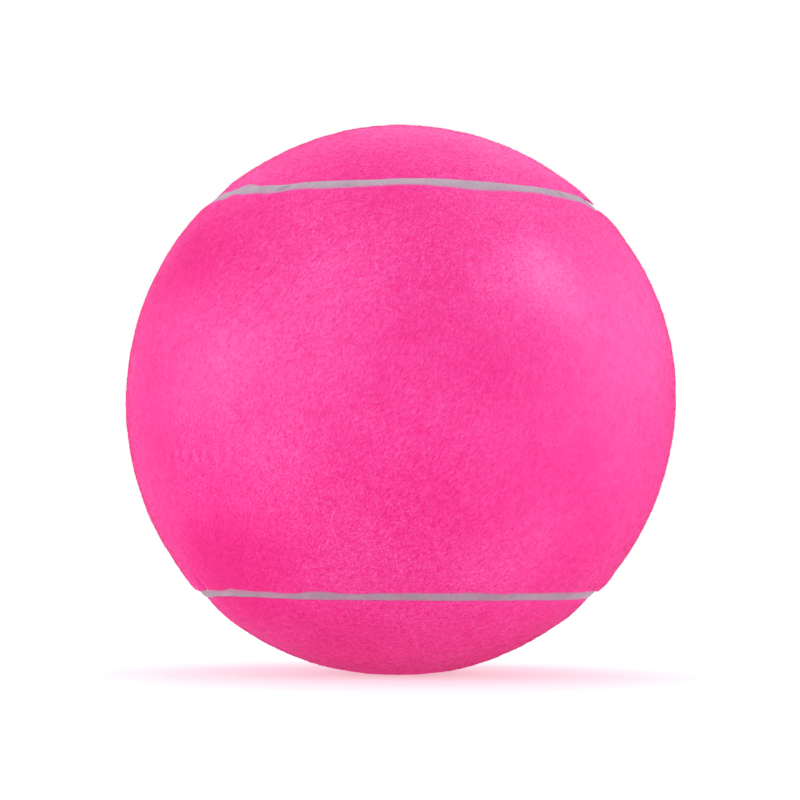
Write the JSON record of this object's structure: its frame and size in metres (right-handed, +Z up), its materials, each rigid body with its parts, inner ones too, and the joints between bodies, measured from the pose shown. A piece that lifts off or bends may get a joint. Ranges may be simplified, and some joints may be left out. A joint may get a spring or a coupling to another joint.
{
  "type": "jumbo tennis ball",
  "caption": "Large inflatable felt-covered ball with interlocking felt panels, a grey rubber seam strip, a rubber bladder and a needle valve.",
  "frame": {"origin": "centre of the ball", "axes": "+Z up, away from the resting flat; +Y out through the valve at the middle of the back panel; -Y out through the waist of the front panel, the side the picture shows"},
  "size_m": [0.24, 0.2396, 0.2392],
  "materials": {
    "pink_felt": "brushed needle felt with a short nap",
    "seam_rubber": "matt grey cured rubber",
    "bladder_rubber": "plain moulded dark grey rubber",
    "valve_rubber": "satin black moulded rubber"
  },
  "bodies": {
    "root": {"rubber_bladder": "bladder_rubber", "valve_housing": "valve_rubber", "valve_plug": "valve_rubber", "felt_panel_front": "pink_felt", "felt_panel_back": "pink_felt", "seam_strip": "seam_rubber"}
  },
  "joints": []
}
